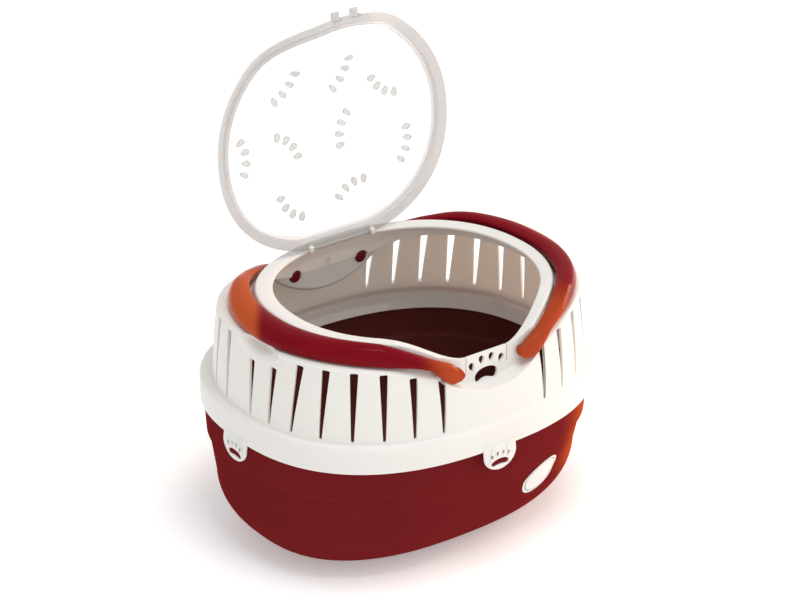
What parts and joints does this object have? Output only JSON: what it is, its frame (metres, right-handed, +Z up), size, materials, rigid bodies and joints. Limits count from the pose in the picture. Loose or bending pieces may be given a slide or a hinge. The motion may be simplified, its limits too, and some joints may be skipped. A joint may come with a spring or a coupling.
{
  "type": "pet carrier",
  "caption": "Oval small-animal keeper: deep red tub, slatted white top clipped over it, clear hinged lid standing open and two swinging handles.",
  "frame": {"origin": "centre of the flat base of the tub, on the surface it stands on", "axes": "+X along the length, -Y towards the latch, +Y towards the lid hinge, +Z up"},
  "size_m": [0.3022, 0.2592, 0.3913],
  "materials": {
    "red_tub_plastic": "satin moulded polypropylene",
    "white_shell_plastic": "smooth moulded polypropylene",
    "clear_lid_plastic": "clear polystyrene",
    "crimson_handle_plastic": "glossy, slightly translucent",
    "label_vinyl": "smooth blank sticker"
  },
  "bodies": {
    "shell": {"upper_shell": "white_shell_plastic", "tub": "red_tub_plastic", "name_label": "label_vinyl"},
    "lid_body": {"lid": "clear_lid_plastic"},
    "left_handle_body": {"left_handle": "crimson_handle_plastic", "front_left_pin": "crimson_handle_plastic", "rear_left_pin": "crimson_handle_plastic"},
    "right_handle_body": {"right_handle": "crimson_handle_plastic", "front_right_pin": "crimson_handle_plastic", "rear_right_pin": "crimson_handle_plastic"},
    "tongue_body": {"latch_tongue": "white_shell_plastic"},
    "front_clip_body": {"front_clip": "white_shell_plastic"},
    "rear_clip_body": {"rear_clip": "white_shell_plastic"},
    "left_clip_body": {"left_clip": "white_shell_plastic"},
    "right_clip_body": {"right_clip": "white_shell_plastic"}
  },
  "joints": [
    {"name": "lid_hinge", "type": "hinge", "parent": "shell", "child": "lid_body", "pos_m": [0, 0.072, 0.2002], "axis": [1, 0, 0], "range_deg": [0, 94.5]},
    {"name": "left_handle_pivot", "type": "hinge", "parent": "shell", "child": "left_handle_body", "pos_m": [-0.0315, 0, 0.1705], "axis": [0, 1, 0], "range_deg": [0, 20]},
    {"name": "right_handle_pivot", "type": "hinge", "parent": "shell", "child": "right_handle_body", "pos_m": [0.0315, 0, 0.1705], "axis": [0, -1, 0], "range_deg": [0, 20]},
    {"name": "tongue_flex", "type": "hinge", "parent": "shell", "child": "tongue_body", "pos_m": [0, -0.1098, 0.1654], "axis": [-1, 0, 0], "range_deg": [0, 6], "stiffness_Nm_per_rad": 0.04},
    {"name": "front_clip_flex", "type": "hinge", "parent": "shell", "child": "front_clip_body", "pos_m": [0, -0.1285, 0.11], "axis": [-1, 0, 0], "range_deg": [0, 10], "stiffness_Nm_per_rad": 0.04},
    {"name": "rear_clip_flex", "type": "hinge", "parent": "shell", "child": "rear_clip_body", "pos_m": [0, 0.1285, 0.11], "axis": [1, 0, 0], "range_deg": [0, 10], "stiffness_Nm_per_rad": 0.04},
    {"name": "left_clip_flex", "type": "hinge", "parent": "shell", "child": "left_clip_body", "pos_m": [-0.15, 0, 0.11], "axis": [0, 1, 0], "range_deg": [0, 10], "stiffness_Nm_per_rad": 0.04},
    {"name": "right_clip_flex", "type": "hinge", "parent": "shell", "child": "right_clip_body", "pos_m": [0.15, 0, 0.11], "axis": [0, -1, 0], "range_deg": [0, 10], "stiffness_Nm_per_rad": 0.04}
  ]
}
